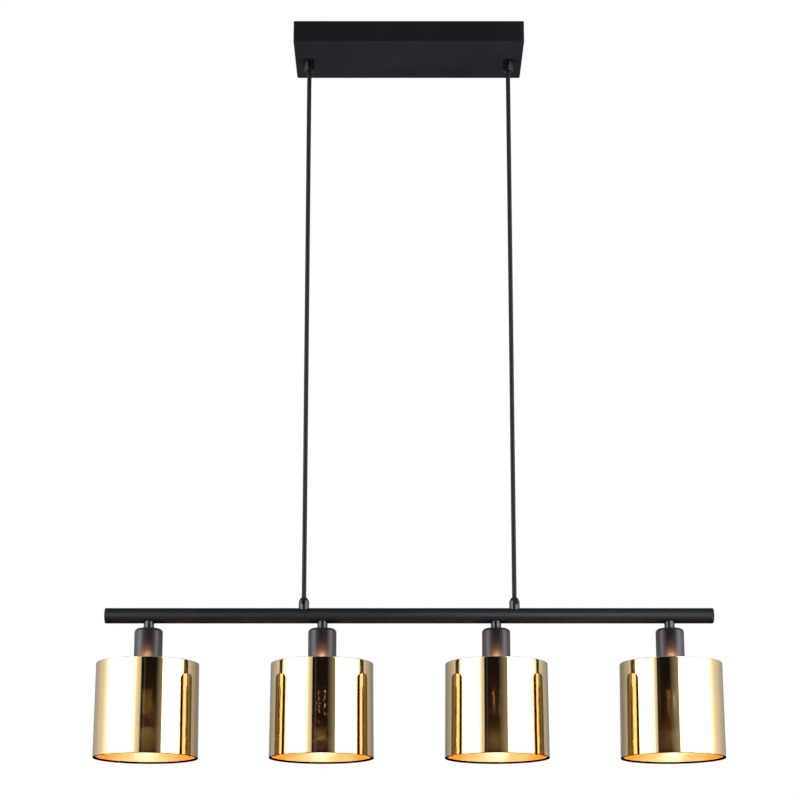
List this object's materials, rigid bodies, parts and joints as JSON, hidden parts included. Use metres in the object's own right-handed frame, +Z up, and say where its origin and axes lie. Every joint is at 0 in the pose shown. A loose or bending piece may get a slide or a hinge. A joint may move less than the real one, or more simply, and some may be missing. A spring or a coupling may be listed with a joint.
{
  "type": "linear pendant lamp",
  "caption": "Linear pendant lamp for a pool table: ceiling canopy, straight cables, round bar and cylindrical mirror-gold shades with candle bulbs.",
  "frame": {"origin": "centre of the ceiling bracket's bolt slots, in its top face, which lies against the ceiling", "axes": "+Z up into the ceiling, +X along the bar, +Y to the back"},
  "size_m": [0.8074, 0.134, 0.988],
  "materials": {
    "zinc_plated_steel": "bright zinc plating",
    "black_coated_steel": "fine satin black powder coat",
    "black_metal_fittings": "semi-gloss black plating",
    "black_fasteners": "black oxide",
    "gunmetal_coating": "satin gunmetal-black coating",
    "black_wire": "black coated wire",
    "mirror_gold": "metallised mirror gold, faintly see-through against a lit bulb",
    "black_cable": "smooth black PVC sheath",
    "wire_sleeve": "grey sleeving",
    "white_plastic": "natural nylon",
    "holder_plastic": "black thermoplastic",
    "brass": "plain brass",
    "nickel": "nickel-plated cap",
    "clear_glass": "clear bulb glass",
    "led_filament": "warm LED filament coating"
  },
  "bodies": {
    "canopy": {"ceiling_bracket": "zinc_plated_steel", "canopy_cover": "black_coated_steel", "cover_screws": "black_fasteners", "terminal_block": "white_plastic", "terminal_screws": "zinc_plated_steel", "earth_screw": "brass", "gland_left": "black_metal_fittings", "gland_right": "black_metal_fittings", "gland_locknuts": "zinc_plated_steel", "gland_grub_screws": "black_fasteners", "cable_tail_left": "black_cable", "cable_tail_right": "black_cable"},
    "suspension": {"cable_left": "black_cable", "cable_right": "black_cable"},
    "bar": {"bar_tube": "black_coated_steel", "end_plug_left": "black_coated_steel", "end_plug_right": "black_coated_steel", "threaded_bosses": "zinc_plated_steel", "connector_left": "black_metal_fittings", "connector_right": "black_metal_fittings", "connector_grub_screws": "black_fasteners", "bar_harness": "wire_sleeve", "holder_contacts": "brass", "holder_rings": "holder_plastic", "neck_1": "black_metal_fittings", "socket_cup_1": "gunmetal_coating", "lampholder_1": "holder_plastic", "shade_fitter_1": "black_wire", "shade_1": "mirror_gold", "shade_rim_1": "black_wire", "neck_2": "black_metal_fittings", "socket_cup_2": "gunmetal_coating", "lampholder_2": "holder_plastic", "shade_fitter_2": "black_wire", "shade_2": "mirror_gold", "shade_rim_2": "black_wire", "neck_3": "black_metal_fittings", "socket_cup_3": "gunmetal_coating", "lampholder_3": "holder_plastic", "shade_fitter_3": "black_wire", "shade_3": "mirror_gold", "shade_rim_3": "black_wire", "neck_4": "black_metal_fittings", "socket_cup_4": "gunmetal_coating", "lampholder_4": "holder_plastic", "shade_fitter_4": "black_wire", "shade_4": "mirror_gold", "shade_rim_4": "black_wire"},
    "bulb_1": {"bulb_cap_1": "nickel", "bulb_glass_1": "clear_glass", "bulb_filaments_1": "led_filament"},
    "bulb_2": {"bulb_cap_2": "nickel", "bulb_glass_2": "clear_glass", "bulb_filaments_2": "led_filament"},
    "bulb_3": {"bulb_cap_3": "nickel", "bulb_glass_3": "clear_glass", "bulb_filaments_3": "led_filament"},
    "bulb_4": {"bulb_cap_4": "nickel", "bulb_glass_4": "clear_glass", "bulb_filaments_4": "led_filament"}
  },
  "joints": [
    {"name": "swing", "type": "hinge", "parent": "canopy", "child": "suspension", "pos_m": [0, 0, -0.045], "axis": [1, 0, 0], "range_deg": [-30, 30]},
    {"name": "height_adjust", "type": "slide", "parent": "suspension", "child": "bar", "axis": [0, 0, 1], "range_m": [0, 0.45], "deforming": ["cable_left", "cable_right"]},
    {"name": "bulb_1_screw", "type": "hinge", "parent": "bar", "child": "bulb_1", "pos_m": [-0.33675, 0, -0.864], "axis": [0, 0, -1], "range_deg": [0, 1800]},
    {"name": "bulb_2_screw", "type": "hinge", "parent": "bar", "child": "bulb_2", "pos_m": [-0.11225, 0, -0.864], "axis": [0, 0, -1], "range_deg": [0, 1800]},
    {"name": "bulb_3_screw", "type": "hinge", "parent": "bar", "child": "bulb_3", "pos_m": [0.11225, 0, -0.864], "axis": [0, 0, -1], "range_deg": [0, 1800]},
    {"name": "bulb_4_screw", "type": "hinge", "parent": "bar", "child": "bulb_4", "pos_m": [0.33675, 0, -0.864], "axis": [0, 0, -1], "range_deg": [0, 1800]}
  ]
}
